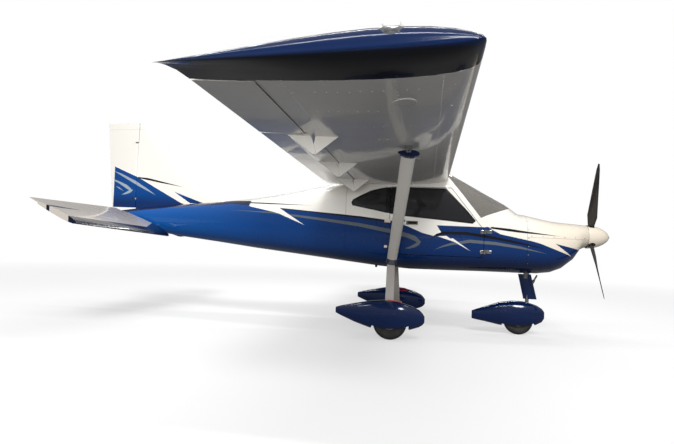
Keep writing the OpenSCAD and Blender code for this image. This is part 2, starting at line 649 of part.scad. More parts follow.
// Section at y of a surface whose trailing edge is straight, back to chord c1
function tail_ring(chord, y, inset = 0) = let(c0 = inset * 3, le = tail_te - chord,
        c1 = chord - tab_chord - tab_nose - tab_gap - 2 * inset)
    concat([for (i = [8:-1:0]) let(c = c0 + (c1 - c0) * spread(i, 8)) [-(le + c), y, max(1, chord * tail_half(c / chord) - inset)]],
    [for (i = [1:8]) let(c = c0 + (c1 - c0) * spread(i, 8)) [-(le + c), y, -max(1, chord * tail_half(c / chord) - inset)]]);
module tail_frame() translate([sx(tail_s), 0, tail_z]) rotate([0, tail_rest, 0]) children();
module stabilator() color("white") tail_frame() both() difference() {
    hull() between(tail_ring(tail_chord, tail_root_y), tail_ring(tail_tip_chord, tail_span / 2));
    hull() between(tail_ring(tail_chord, tail_root_y + 8, tail_skin), tail_ring(tail_tip_chord, tail_span / 2 - 8, tail_skin));
    rod_y(tube_r - 8, 0, tail_root_y + 20);
}
module stabilator_tube() color("silver") tail_frame() difference() {
    rod_y(tube_r, -tail_root_y + seat, tail_root_y - seat);
    rod_y(tube_r - 4, -tail_root_y, tail_root_y);
}
module stabilator_tab() color("lightgray") tail_frame() both() hull() {
    translate([-tab_c, 0, 0]) rod_y(tab_nose, tail_root_y + 20, tail_span / 2 - 20);
    translate([-(tail_te - 3), 0, 0]) rod_y(2, tail_root_y + 20, tail_span / 2 - 20);
}
module stabilator_bearings() color("silver") both() translate([sx(tail_s), 0, tail_z]) difference() {
    rod_y(bearing_r, tail_root_y - 96, tail_root_y - 8);
    rod_y(tube_r + fit, 0, tail_root_y + 10);
}

// ---------------------------------------------------------------- main gear
module main_gear_legs() color("white") both() {
    leg_blade();
    translate([sx(main_s + 75), half_track - 134 - 7, wheel_z - 45]) cube([120, 14, 100]);
}
module main_axles() color("silver") both() translate([sx(main_s), 0, wheel_z]) {
    rod_y(axle_r, half_track - 134 + 7, half_track + 66);
}

rim_r = 66;
module tyre_shape(d, w) rotate([90, 0, 0]) rotate_extrude($fn = 96) polygon(concat(
    [[rim_r + 2, -w / 2 + 16]],
    [for (i = [0:12]) let(a = -90 + 15 * i)
        [d / 2 - 42 + 42 * cos(a), (w / 2) * signed_pow(sin(a), 0.72)]],
    [[rim_r + 2, w / 2 - 16]]));
module rim_shape(w) rotate([90, 0, 0]) difference() {
    union() {
        cylinder(r = rim_r + 2 - seat / 2, h = w - 34, center = true, $fn = 72);
        cylinder(r = 26, h = w - 10, center = true, $fn = 48);
    }
    for (e = [1, -1]) translate([0, 0, e * (w / 2 - 17)]) difference() {
        cylinder(r = rim_r - 8, h = 50, center = true, $fn = 72);
        cylinder(r = 26, h = 60, center = true, $fn = 48);
    }
    cylinder(r = axle_r + fit, h = w + 20, center = true, $fn = 48);
}
module main_wheel_at() translate([sx(main_s), half_track, wheel_z]) children();
module right_tyre() color("black") on_right() main_wheel_at() tyre_shape(tyre_d, tyre_w);
module left_tyre() color("black") main_wheel_at() tyre_shape(tyre_d, tyre_w);
module right_rim() color("silver") on_right() main_wheel_at() rim_shape(tyre_w);
module left_rim() color("silver") main_wheel_at() rim_shape(tyre_w);

// Wheel pant rows, as shares of the tyre's diameter but for the second, of its width:
// distance aft of the axle, half width, lowest and highest points above the floor
pant_rows = [[-1.020, 0.110, 0.560, 0.740], [-0.960, 0.290, 0.480, 0.830], [-0.866, 0.440, 0.420, 0.920],
    [-0.620, 0.690, 0.335, 1.030], [-0.243, 0.867, 0.285, 1.130], [0.200, 0.900, 0.275, 1.168],
    [0.614, 0.800, 0.330, 1.125], [1.071, 0.560, 0.470, 1.030], [1.500, 0.270, 0.640, 0.930],
    [1.650, 0.130, 0.710, 0.880]];
nose_pant_rows = [[-0.880, 0.14, 0.600, 0.840], [-0.800, 0.42, 0.480, 0.950], [-0.620, 0.70, 0.380, 1.060],
    [-0.420, 0.90, 0.320, 1.120], [-0.152, 1.02, 0.275, 1.180], [0.227, 1.02, 0.265, 1.180],
    [0.667, 0.88, 0.310, 1.105], [1.152, 0.56, 0.400, 0.930], [1.500, 0.28, 0.455, 0.800],
    [1.600, 0.15, 0.480, 0.755]];
function pant_ring(r, d, w, inset) = [for (i = [0:23]) let(a = 15 * (i + 0.5), e = 2 / 2.6)
    [-r[0] * d, (r[1] * w - inset) * signed_pow(cos(a), e),
     (r[2] + r[3]) / 2 * d + ((r[3] - r[2]) / 2 * d - inset) * signed_pow(sin(a), e)]];
pant_wall = 6;
module pant(rows, d, w) difference() {
    for (i = [0:len(rows) - 2]) hull() between(pant_ring(rows[i], d, w, 0), pant_ring(rows[i + 1], d, w, 0));
    for (i = [1:len(rows) - 3])
        hull() between(pant_ring(rows[i], d, w, pant_wall), pant_ring(rows[i + 1], d, w, pant_wall));
    translate([-d / 2 - 22, -w / 2 - 14, 0]) cube([d + 44, w + 28, d / 2]);
}
module main_wheel_pants() color("navy") both() difference() {
    translate([sx(main_s), half_track, 0]) pant(pant_rows, tyre_d, tyre_w);
    translate([sx(main_s), 0, wheel_z]) rod_y(axle_r + seat, 0, half_track);
}

// ---------------------------------------------------------------- nose gear
steer_s = nose_s - 95;
leg_r = 21;
fork_t = 8;
fork_y = nose_tyre_w / 2 + clear + fork_t / 2;
fork_top = nose_tyre_d + clear + 1;
crown_t = 12;
bearing_z = belly_z + 30;
module nose_leg_bearing() color("silver") difference() {
    translate([sx(nose_len - seat), -40, bearing_z]) cube([nose_len - steer_s + 38, 80, 60]);
    translate([sx(steer_s), 0, bearing_z - 10]) cylinder(r = leg_r + fit, h = 90, $fn = 48);
}
module nose_leg() color("silver") {
    translate([sx(steer_s), 0, fork_top]) cylinder(r = leg_r, h = bearing_z + 55 - fork_top, $fn = 48);
    translate([sx(nose_s + 20), -fork_y - fork_t / 2, fork_top]) cube([70, 2 * fork_y + fork_t, crown_t]);
    translate([sx(nose_s), -leg_r, fork_top]) cube([nose_s - steer_s, 2 * leg_r, crown_t]);
    both() translate([sx(nose_s + 20), fork_y - fork_t / 2, nose_wheel_z - 20])
        cube([40, fork_t, fork_top - nose_wheel_z + 21]);
    translate([sx(nose_s), 0, nose_wheel_z]) rod_y(axle_r, -fork_y, fork_y);
}
fairing_z = nose_tyre_d * 1.27;
// Fairing sections, foot and head: height, middle ahead of the steering axis, width, thickness
fairing_rows = [[fairing_z, 34, 152, 56], [belly_z - 8, -34, 146, 58]];
module nose_leg_fairing() color("navy") translate([sx(steer_s), 0, 0]) difference() {
    hull() for (r = fairing_rows) translate([r[1], 0, r[0] == fairing_z ? r[0] : r[0] - 1]) linear_extrude(1)
        polygon([for (i = [0:23]) let(a = 15 * i) [r[2] / 2 * cos(a), r[3] / 2 * sin(a) * (0.8 + 0.2 * cos(a)) * 1.1]]);
    translate([0, 0, fairing_z - 10]) cylinder(r = leg_r + seat, h = 500, $fn = 48);
}
module nose_wheel_pant() color("navy") difference() {
    translate([sx(nose_s), 0, 0]) pant(nose_pant_rows, nose_tyre_d, nose_tyre_w);
    translate([sx(steer_s), 0, 300]) cylinder(r = leg_r + seat, h = 200, $fn = 48);
}
module nose_tyre() color("black") translate([sx(nose_s), 0, nose_wheel_z]) tyre_shape(nose_tyre_d, nose_tyre_w);
module nose_rim() color("silver") translate([sx(nose_s), 0, nose_wheel_z]) rim_shape(nose_tyre_w);

cabin_shell();
tail_cone();
upper_cowling();
lower_cowling();
engine_block();
propeller_shaft();
propeller_hub();
propeller_blades();
spinner();
exhaust_pipe();
windshield();
quarter_windows();
right_door();
left_door();
right_door_window();
left_door_window();
door_hinges();
right_door_hinges();
left_door_hinges();
instrument_panel();
cabin_floor();
right_seat();
left_seat();
right_wing();
left_wing();
wing_tips();
wing_root_fairings();
right_aileron();
left_aileron();
right_flap();
left_flap();
wing_struts();
strut_cuffs();
tie_down_lugs();
fin();
rudder();
rudder_hinges();
stabilator();
stabilator_tab();
stabilator_tube();
stabilator_bearings();
main_gear_legs();
main_axles();
main_wheel_pants();
right_tyre();
left_tyre();
right_rim();
left_rim();
nose_leg_bearing();
nose_leg();
nose_leg_fairing();
nose_wheel_pant();
nose_tyre();
nose_rim();
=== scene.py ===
import json
import math

import bmesh
import bpy
from mathutils import Matrix, Vector
from mathutils.bvhtree import BVHTree


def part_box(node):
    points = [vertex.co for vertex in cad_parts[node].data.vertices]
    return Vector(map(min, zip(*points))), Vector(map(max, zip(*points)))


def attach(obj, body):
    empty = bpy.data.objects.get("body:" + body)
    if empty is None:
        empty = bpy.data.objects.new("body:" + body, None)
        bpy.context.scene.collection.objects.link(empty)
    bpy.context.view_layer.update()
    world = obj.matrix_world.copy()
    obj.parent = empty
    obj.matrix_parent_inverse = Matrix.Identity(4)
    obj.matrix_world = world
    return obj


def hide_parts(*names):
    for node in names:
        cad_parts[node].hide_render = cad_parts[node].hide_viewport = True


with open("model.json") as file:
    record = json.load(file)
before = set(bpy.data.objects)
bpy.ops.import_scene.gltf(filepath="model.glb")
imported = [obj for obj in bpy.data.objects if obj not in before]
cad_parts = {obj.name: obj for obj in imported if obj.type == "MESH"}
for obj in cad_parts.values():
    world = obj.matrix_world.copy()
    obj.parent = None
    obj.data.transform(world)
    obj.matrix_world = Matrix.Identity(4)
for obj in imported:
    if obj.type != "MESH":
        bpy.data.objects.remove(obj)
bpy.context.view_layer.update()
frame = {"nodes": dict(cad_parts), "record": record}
nodes = frame["nodes"]
scene = bpy.context.scene
print("frame loaded:", len(nodes), "nodes")


class Value:
    # a shader socket that can be used in sums
    def __init__(self, tree, socket=None):
        self.tree, self.socket = tree, socket

    def node(self, kind, settings=None, out=0, **inputs):
        made = self.tree.nodes.new("ShaderNode" + kind)
        for name, value in (settings or {}).items():
            if name == "stops":
                ramp = made.color_ramp.elements
                while len(ramp) < len(value):
                    ramp.new(0.5)
                for stop, (place, colour) in zip(ramp, value):
                    stop.position, stop.color = place, (*colour, 1)
            else:
                setattr(made, name, value)
        for name, value in inputs.items():
            key = int(name[1:]) if name[0] == "i" and name[1:].isdigit() else name.replace("_", " ")
            if isinstance(value, Value):
                self.tree.links.new(value.socket, made.inputs[key])
            else:
                target = made.inputs[key]
                if isinstance(value, (tuple, list)) and len(value) == 3 and target.type == "RGBA":
                    value = (*value, 1)
                target.default_value = value
        return Value(self.tree, made.outputs[out] if made.outputs else None)

    def maths(self, operation, *values):
        return self.node("Math", {"operation": operation}, **{f"i{i}": v for i, v in enumerate(values)})

    def __add__(self, other): return self.maths("ADD", self, other)
    def __radd__(self, other): return self.maths("ADD", other, self)
    def __sub__(self, other): return self.maths("SUBTRACT", self, other)
    def __rsub__(self, other): return self.maths("SUBTRACT", other, self)
    def __mul__(self, other): return self.maths("MULTIPLY", self, other)
    def __rmul__(self, other): return self.maths("MULTIPLY", other, self)
    def __truediv__(self, other): return self.maths("DIVIDE", self, other)
    def __abs__(self): return self.maths("ABSOLUTE", self)

    def clamp(self): return self.node("Clamp", Value=self)
    def over(self, edge, soft=0.003): return ((self - edge) / soft + 0.5).clamp()
    def under(self, edge, soft=0.003): return ((edge - self) / soft + 0.5).clamp()

    def mix(self, low, high):
        # colour low where self is 0, colour high where it is 1
        return self.node("Mix", {"data_type": "RGBA"}, out=2, i0=self, i6=low, i7=high)


def newMaterial(name):
    material = bpy.data.materials.new(name)
    material.use_nodes = True
    tree = material.node_tree
    for old in list(tree.nodes):
        tree.nodes.remove(old)
    start = Value(tree)
    place = start.node("TexCoord", out=3)
    parts = [Value(tree, socket) for socket in place.node("SeparateXYZ", Vector=place).socket.node.outputs]
    return material, start, place, parts


def finish(start, shader):
    start.node("OutputMaterial", Surface=shader)


def noise(start, place, scale, detail=3.0, rough=0.5):
    return start.node("TexNoise", Vector=place, Scale=scale, Detail=detail, Roughness=rough)


def bump(start, height, distance, strength=0.4):
    return start.node("Bump", Height=height, Distance=distance, Strength=strength)


def profile(x, points):
    # height of a broken line at x
    z = points[0][1]
    for (x0, z0), (x1, z1) in zip(points, points[1:]):
        if z1 != z0:
            z = ((x - x0) / (x1 - x0)).clamp() * (z1 - z0) + z
    return z


def stripe(x, z, points):
    # a stroke through points of (x, z, width)
    width = profile(x, [(px, pw) for px, pz, pw in points])
    ends = (x - points[0][0]).over(0) * (points[-1][0] - x).over(0)
    return (width / 2 - abs(z - profile(x, [(px, pz) for px, pz, pw in points]))).over(0) * ends


def shard(x, z, corners):
    # inside of a convex outline, corners in either turn
    area = sum(a[0] * b[1] - b[0] * a[1] for a, b in zip(corners, corners[1:] + corners[:1]))
    side = 1 if area > 0 else -1
    mask = None
    for (x0, z0), (x1, z1) in zip(corners, corners[1:] + corners[:1]):
        size = side * math.hypot(x1 - x0, z1 - z0)
        edge = ((z - z0) * ((x1 - x0) / size) - (x - x0) * ((z1 - z0) / size)).over(0)
        mask = edge if mask is None else mask * edge
    return mask


# the lighter rear blue in this table is a painted highlight on the blue paint
paint = {
    "white": (0.80, 0.775, 0.72), "cream": (0.76, 0.68, 0.56), "blue": (0.0015, 0.050, 0.215),
    "deepBlue": (0.002, 0.022, 0.105), "navy": (0.001, 0.004, 0.020), "black": (0.006, 0.006, 0.007),
    "silver": (0.10, 0.115, 0.13), "finSilver": (0.30, 0.36, 0.42), "rearHighlightBlue": (0.002, 0.078, 0.31),
    "crest": (0.004, 0.010, 0.055), "flakeTint": (0.05, 0.25, 0.9, 1), "flake": 900.0, "peel": 0.0006}


def withFlakes(start, place, colour):
    # fine bright flakes under the lacquer
    flakes = noise(start, place, paint["flake"], 1.0)
    return start.node("Mix", {"data_type": "RGBA", "blend_type": "ADD"}, out=2,
                      i0=flakes.over(0.60, 0.2) * 0.03, i6=colour, i7=paint["flakeTint"])


def gloss(start, place, colour, rough=0.22, coat=0.75, metallic=0.0, height=None):
    grain = noise(start, place, 55.0)
    surface = grain * paint["peel"] if height is None else grain * paint["peel"] + height
    dust = noise(start, place, 3.5, 5.0)
    return start.node("BsdfPrincipled", Base_Color=colour, Roughness=dust * 0.12 + rough, Metallic=metallic,
                      Coat_Weight=coat, Coat_Roughness=0.05, Specular_IOR_Level=0.2,
                      Normal=bump(start, surface, 1.0))


# where white meets blue along the fuselage, then the shards, strokes and stripes over it
scheme = {
    "top": [(-3.2, 1.60), (-1.25, 1.438), (-0.97, 1.382), (-0.709, 1.33), (-0.66, 1.315), (-0.638, 1.378),
            (-0.127, 1.33), (0.356, 1.284), (0.657, 1.256), (0.80, 1.235), (0.90, 1.205), (1.063, 1.137),
            (1.195, 1.105), (1.216, 1.226), (1.77, 1.221), (1.83, 1.192), (1.914, 1.151), (2.25, 1.089),
            (2.48, 1.035), (2.50, 1.073), (2.80, 1.01), (3.2, 0.95)],
    "whiteShards": [[(-0.715, 1.34), (-0.636, 1.378), (-0.319, 1.186)],
                    [(1.19, 1.228), (1.22, 1.228), (1.277, 1.139), (1.19, 1.104)],
                    [(1.235, 1.104), (1.33, 1.112), (1.43, 1.045)], [(1.36, 1.078), (1.40, 1.088), (1.593, 0.955)],
                    [(2.30, 1.082), (2.502, 1.076), (2.709, 0.935)]],
    "black": [[(-0.64, 1.379, 0.006), (0.356, 1.292, 0.024), (0.70, 1.255, 0.020), (0.92, 1.218, 0.0)],
              [(1.14, 1.062, 0.0), (1.18, 1.092, 0.016), (1.22, 1.118, 0.024), (1.295, 1.142, 0.032),
               (1.543, 1.147, 0.034), (1.853, 1.106, 0.030), (2.123, 1.062, 0.022), (2.42, 1.004, 0.0)],
              [(1.745, 1.224, 0.0), (1.80, 1.219, 0.020), (2.0, 1.201, 0.030), (2.125, 1.188, 0.026),
               (2.567, 1.153, 0.0)],
              [(-1.29, 1.452, 0.016), (-0.777, 1.434, 0.016), (-0.245, 1.419, 0.0)]],
    "silver": [[(-1.30, 1.347, 0.0), (-0.709, 1.321, 0.016), (-0.124, 1.259, 0.030), (0.359, 1.204, 0.040),
                (0.706, 1.144, 0.046), (0.90, 1.103, 0.050), (0.99, 1.070, 0.058), (1.035, 1.035, 0.040)],
               [(0.876, 0.955, 0.0), (0.93, 0.966, 0.022), (0.99, 0.993, 0.040), (1.035, 1.026, 0.052),
                (1.055, 1.04, 0.0)],
               [(1.205, 0.957, 0.0), (1.30, 0.997, 0.018), (1.393, 1.026, 0.026), (1.582, 1.062, 0.034),
                (1.854, 1.048, 0.034), (2.124, 1.014, 0.026), (2.417, 0.957, 0.0)]],
    "trim": [[(0.748, 1.345), (0.776, 1.324), (1.608, 1.254), (1.644, 1.286), (1.545, 1.402), (1.312, 1.640),
              (0.748, 1.643)],
             [(0.640, 1.352), (0.780, 1.330), (0.780, 1.643), (0.640, 1.641)],
             [(0.660, 1.349), (0.660, 1.642), (0.60, 1.634), (0.465, 1.600), (0.345, 1.541), (0.262, 1.494),
              (0.246, 1.462), (0.260, 1.426)]],
    "crest": [(-2.95, 1.278), (-2.13, 1.368), (-1.30, 1.424), (-0.90, 1.398), (-0.5, 1.45)],
    "seams": [2.2044, 0.184], "cowlSplit": 1.129, "seamWidth": 0.005}


def fuselagePaint():
    material, start, place, (x, y, z) = newMaterial("fuselagePaint")
    low = (z - 0.72).over(0.13, 0.20)
    # the side lightens towards the tail, and aft of x -0.8 it turns to a lighter blue that is a painted highlight
    rear = ((0.9 - x) / 3.6).clamp()
    bright = ((-0.8 - x) / 1.8).clamp()
    side = low.mix(paint["navy"], bright.mix(rear.mix(paint["deepBlue"], paint["blue"]), paint["rearHighlightBlue"]))
    side = (z - profile(x, scheme["crest"])).over(0).mix(side, paint["crest"])
    side = withFlakes(start, place, side)
    isBlue = (profile(x, scheme["top"]) - z).over(0)
    # the crest under the fin is blue over its whole width
    isBlue = (isBlue + (-1.05 - x).over(0, 0.02) * (1.47 - z).over(0)).clamp()
    for corners in scheme["whiteShards"]:
        isBlue = isBlue * (1 - shard(x, z, corners))
    silver = sum(stripe(x, z, points) for points in scheme["silver"])
    nose = ((x - 1.9) / 0.7).clamp()
    colour = isBlue.mix(nose.mix(paint["white"], paint["cream"]), side)
    colour = (silver.clamp() * isBlue).mix(colour, paint["silver"])
    for points in scheme["black"]:
        colour = stripe(x, z, points).mix(colour, paint["black"])
    # black trim round the side windows and between them
    trim = sum(shard(x, z, corners) for corners in scheme["trim"])
    colour = (trim.clamp() * abs(y).over(0.3)).mix(colour, paint["black"])
    lines = sum(abs(x - seam).under(scheme["seamWidth"] / 2, 0.002) for seam in scheme["seams"])
    lines = lines + abs(z - scheme["cowlSplit"]).under(0.002, 0.002) * (x - 2.2).over(0)
    lines = lines.clamp()
    colour = (lines * 0.45).mix(colour, paint["black"])
    finish(start, gloss(start, place, colour, height=lines * -0.0015))
    return material


fin = {
    "top": [(-3.2, 1.96), (-3.073, 1.907), (-2.677, 1.747), (-2.102, 1.443), (-1.9, 1.36)],
    "edge": -3.06,
    "black": [(-2.70, 1.755, 0.016), (-2.55, 1.735, 0.028), (-2.40, 1.705, 0.024), (-2.046, 1.639, 0.0)],
    "silver": [[(-3.075, 1.842, 0.0), (-2.95, 1.790, 0.028), (-2.717, 1.678, 0.046), (-2.55, 1.590, 0.026),
                (-2.44, 1.527, 0.0)],
               [(-3.085, 1.728, 0.010), (-2.98, 1.686, 0.030), (-2.87, 1.632, 0.050), (-2.81, 1.595, 0.040),
                (-2.778, 1.575, 0.0)],
               [(-2.94, 1.522, 0.0), (-2.88, 1.541, 0.024), (-2.82, 1.566, 0.042), (-2.79, 1.580, 0.030),
                (-2.77, 1.588, 0.0)],
               [(-3.03, 1.636, 0.0), (-2.98, 1.612, 0.018), (-2.91, 1.572, 0.0)]],
    "shards": [[(-2.18, 1.577), (-1.75, 1.43), (-1.95, 1.43)]], "capLine": 2.40}


def finPaint():
    material, start, place, (x, y, z) = newMaterial("finPaint")
    isBlue = (profile(x, fin["top"]) - z).over(0) * (x - fin["edge"]).over(0)
    for corners in fin["shards"]:
        isBlue = (isBlue + shard(x, z, corners)).clamp()
    silver = sum(stripe(x, z, points) for points in fin["silver"])
    blue = ((z - 1.42) / 0.12).clamp().mix(paint["deepBlue"], paint["blue"])
    colour = isBlue.mix(paint["white"], blue)
    colour = (silver.clamp() * isBlue).mix(colour, paint["finSilver"])
    colour = stripe(x, z, fin["black"]).mix(colour, paint["black"])
    lines = abs(z - fin["capLine"]).under(0.002, 0.002) * 0.3
    colour = lines.mix(colour, paint["black"])
    finish(start, gloss(start, place, colour, height=lines * -0.001))
    return material


wing = {"ribs": 0.36, "firstRib": 0.68, "ribCount": 10, "spar": 0.95, "rows": (0.40, 0.95, 1.17),
        "tint": (0.80, 0.77, 0.72), "lapTone": (0.25, 0.24, 0.23)}


def wingPaint():
    material, start, place, (x, y, z) = newMaterial("wingPaint")
    # skins lap on the spar line and over each rib
    bay = (abs(y) - wing["firstRib"]) / wing["ribs"] + 0.5
    ribs = abs(bay - bay.maths("FLOOR", bay) - 0.5).under(0.006, 0.004)
    lap = abs(x - wing["spar"]).under(0.002, 0.002) + ribs * 0.5
    stain = noise(start, place, 2.2, 5.0, 0.6)
    colour = ((stain - 0.42) * 2.5).clamp().mix(paint["white"], wing["tint"])
    colour = (lap.clamp() * 0.16).mix(colour, wing["lapTone"])
    ripple = noise(start, place, 5.0, 2.0) * 0.006
    finish(start, gloss(start, place, colour, rough=0.16, coat=0.5, height=ripple + lap * -0.0008))
    return material


# the near-black under colour is painted shade on the navy tip paint
tip = {"keelHeight": 1.772, "keelSlope": 0.036, "rim": (0.0006, 0.010, 0.050), "under": (0.0008, 0.0016, 0.004),
       "lampAt": (0.94, 1.884), "lampInset": 0.045, "lampAxis": (0.35, 0.9)}


def tipPaint():
    material, start, place, (x, y, z) = newMaterial("tipPaint")
    # the underside is painted nearly black as shade, darker than the navy rim
    centre = x * tip["keelSlope"] + tip["keelHeight"]
    under = (centre - z).over(0, 0.02)
    colour = under.mix(tip["rim"], tip["under"])
    finish(start, gloss(start, place, colour, rough=0.1, coat=0.35))
    return material


# the two stabilator tones are grey-beige painted shade standing in for white paint
tail = {"root": 0.188, "tip": 1.75, "tipLead": -2.328, "band": 0.095, "shadedPale": (0.52, 0.48, 0.43),
        "shadedStained": (0.43, 0.39, 0.35)}


def tailPaint():
    material, start, place, (x, y, z) = newMaterial("tailPaint")
    out = abs(y)
    low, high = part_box("stabilator")
    # leading edge line in plan, from root to tip
    lead = high[0] - (out - tail["root"]) * ((high[0] - tail["tipLead"]) / (tail["tip"] - tail["root"]))
    back = lead - x
    band = (tail["band"] - back).over(0)
    spear = (0.075 - abs(back - 0.17 + (out - tail["root"]) * 0.30) - (out - tail["root"]) * 0.17).over(0)
    spindle = (0.030 - abs(back - 0.33) - abs(out - 1.62) * 0.09).over(0)
    mask = (band + spear + spindle).clamp()
    # painted shade: the noise mottles between the two grey-beige tones like stains
    stain = noise(start, place, 2.2, 5.0)
    colour = mask.mix(stain.mix(tail["shadedPale"], tail["shadedStained"]), paint["navy"])
    finish(start, gloss(start, place, colour))
    return material


def plainPaint(name, colour, second=None, rough=0.16, coat=0.9, flake=True):
    material, start, place, (x, y, z) = newMaterial(name)
    shade = noise(start, place, 1.7, 2.0)
    mixed = shade.mix(colour, second or tuple(0.86 * c for c in colour))
    if flake:
        mixed = withFlakes(start, place, mixed)
    finish(start, gloss(start, place, mixed, rough=rough, coat=coat))
    return material


def metal(name, colour, rough, scale=60.0, metallic=1.0, wear=0.15):
    material, start, place, parts = newMaterial(name)
    grain = noise(start, place, scale, 6.0, 0.6)
    shade = ((grain - 0.35) * 2.2).clamp().mix(tuple(0.62 * c for c in colour), colour)
    finish(start, start.node("BsdfPrincipled", Base_Color=shade, Metallic=metallic, Roughness=grain * wear + rough,
                             Normal=bump(start, grain * 0.0004, 1.0)))
    return material


def rubber(name):
    material, start, place, (x, y, z) = newMaterial(name)
    grain = noise(start, place, 240.0, 4.0)
    dust = noise(start, place, 9.0, 4.0)
    colour = ((dust - 0.45) * 2.0).clamp().mix((0.016, 0.016, 0.016), (0.045, 0.041, 0.036))
    finish(start, start.node("BsdfPrincipled", Base_Color=colour, Roughness=dust * 0.2 + 0.62,
                             Normal=bump(start, grain * 0.0006, 1.0)))
    return material


def cloth(name, colour, scale):
    material, start, place, (x, y, z) = newMaterial(name)
    warp = start.node("TexWave", {"wave_type": "BANDS", "bands_direction": "Y"}, Vector=place, Scale=scale)
    weft = start.node("TexWave", {"wave_type": "BANDS", "bands_direction": "X"}, Vector=place, Scale=scale)
    weave = Value(start.tree, warp.socket.node.outputs[1]) * Value(start.tree, weft.socket.node.outputs[1])
    fade = noise(start, place, 6.0, 4.0)
    shade = (weave * 0.6 + fade * 0.4).mix(tuple(0.55 * c for c in colour), colour)
    finish(start, start.node("BsdfPrincipled", Base_Color=shade, Roughness=0.88, Sheen_Weight=0.3,
                             Normal=bump(start, weave * 0.0008, 1.0)))
    return material


def mouldedPlastic(name, colour, rough=0.45):
    material, start, place, parts = newMaterial(name)
    grain = start.node("TexVoronoi", Vector=place, Scale=420.0)
    patch = noise(start, place, 8.0, 3.0)
    shade = patch.mix(colour, tuple(1.3 * c for c in colour))
    finish(start, start.node("BsdfPrincipled", Base_Color=shade, Roughness=patch * 0.1 + rough,
                             Normal=bump(start, grain * 0.0005, 1.0)))
    return material


def glass(name, colour, alpha, rough=0.04):
    material, start, place, (x, y, z) = newMaterial(name)
    haze = noise(start, place, 4.0, 3.0)
    finish(start, start.node("BsdfPrincipled", Base_Color=haze.mix(colour, tuple(1.15 * c for c in colour)),
                             Roughness=haze * 0.04 + rough, Alpha=alpha, Coat_Weight=0.8))
    return material


def glow(name, colour):
    material, start, place, parts = newMaterial(name)
    ribs = start.node("TexWave", Vector=place, Scale=60.0)
    shade = ribs.mix(colour, tuple(0.8 * c for c in colour))
    finish(start, start.node("BsdfPrincipled", Base_Color=shade, Roughness=0.12, Coat_Weight=1.0))
    return material


scuttle = {"line": [(1.60, 1.275), (1.755, 1.35), (1.979, 1.432), (2.12, 1.48)], "pillar": 0.018}


def screenGlass():
    # clear glass that ends at a painted deck below
    material, start, place, (x, y, z) = newMaterial("screenGlass")
    deck = (profile(x, scuttle["line"]) - z).over(0)
    haze = noise(start, place, 4.0, 3.0)
    colour = deck.mix(haze.mix((0.16, 0.15, 0.13), (0.24, 0.22, 0.19)), paint["white"])
    finish(start, start.node("BsdfPrincipled", Base_Color=colour, Roughness=haze * 0.04 + 0.04,
                             Alpha=deck * 0.42 + 0.58, Coat_Weight=0.6))
    return material


mats = {
    "fuselage": fuselagePaint(), "fin": finPaint(), "wing": wingPaint(), "tip": tipPaint(), "tail": tailPaint(),
    "pant": plainPaint("pantPaint", (0.0012, 0.011, 0.060), (0.001, 0.006, 0.032), rough=0.09, coat=1.0),
    "spinner": plainPaint("spinnerPaint", paint["cream"], flake=False),
    "strut": plainPaint("strutPaint", (0.90, 0.86, 0.79), rough=0.3, coat=0.3, flake=False),
    "leg": plainPaint("legPaint", (0.42, 0.39, 0.36), rough=0.35, coat=0.2, flake=False),
    "steel": metal("dullSteel", (0.52, 0.52, 0.53), 0.32), "bright": metal("brightSteel", (0.75, 0.75, 0.76), 0.14),
    "alloy": metal("castAlloy", (0.60, 0.60, 0.62), 0.38, 25.0), "iron": metal("engineMetal", (0.18, 0.18, 0.19), 0.5),
    "blade": mouldedPlastic("bladeSkin", (0.014, 0.012, 0.011), 0.3), "rubber": rubber("tyreRubber"),
    "panel": mouldedPlastic("panelPlastic", (0.035, 0.035, 0.038)),
    "carpet": cloth("floorCarpet", (0.10, 0.10, 0.11), 90),
    "seat": cloth("seatCloth", (0.16, 0.17, 0.20), 120), "piping": mouldedPlastic("seatPiping", (0.03, 0.03, 0.03)),
    "darkGlass": glass("darkGlass", (0.010, 0.010, 0.012), 0.965), "clearGlass": screenGlass(),
    "lens": glow("lampLens", (0.85, 0.83, 0.76)), "redLens": glow("redLens", (0.6, 0.02, 0.02)),
    "seal": mouldedPlastic("doorSeal", (0.01, 0.01, 0.01), 0.6),
    "dial": mouldedPlastic("dialFace", (0.012, 0.012, 0.012), 0.3),
    "hand": mouldedPlastic("dialMarks", (0.8, 0.8, 0.76), 0.4)}

nodeMaterial = {
    "fuselage": "cabin_shell tail_cone upper_cowling lower_cowling right_door left_door",
    "fin": "fin rudder",
    "wing": "right_wing left_wing wing_root_fairings right_aileron left_aileron right_flap left_flap",
    "tip": "wing_tips", "tail": "stabilator stabilator_tab",
    "pant": "main_wheel_pants nose_leg_fairing nose_wheel_pant strut_cuffs",
    "spinner": "spinner", "strut": "wing_struts", "leg": "main_gear_legs",
    "steel": "propeller_shaft exhaust_pipe stabilator_tube stabilator_bearings main_axles tie_down_lugs",
    "bright": "nose_leg nose_leg_bearing door_hinges right_door_hinges left_door_hinges", "iron": "engine_block",
    "alloy": "right_rim left_rim nose_rim propeller_hub", "blade": "propeller_blades",
    "rubber": "right_tyre left_tyre nose_tyre", "panel": "instrument_panel", "carpet": "cabin_floor",
    "darkGlass": "quarter_windows right_door_window left_door_window", "clearGlass": "windshield"}
for key, names in nodeMaterial.items():
    for name in names.split():
        for slot in nodes[name].material_slots:
            slot.material = mats[key]
print("materials made:", len(mats))


def meshObject(name, mesh, material, body):
    if material is not None:
        mesh.materials.clear()
        mesh.materials.append(mats[material])
    made = bpy.data.objects.new(name, mesh)
    scene.collection.objects.link(made)
    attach(made, body)
    return made


def meshFrom(bm, name):
    mesh = bpy.data.meshes.new(name)
    bm.to_mesh(mesh)
    bm.free()
    return mesh


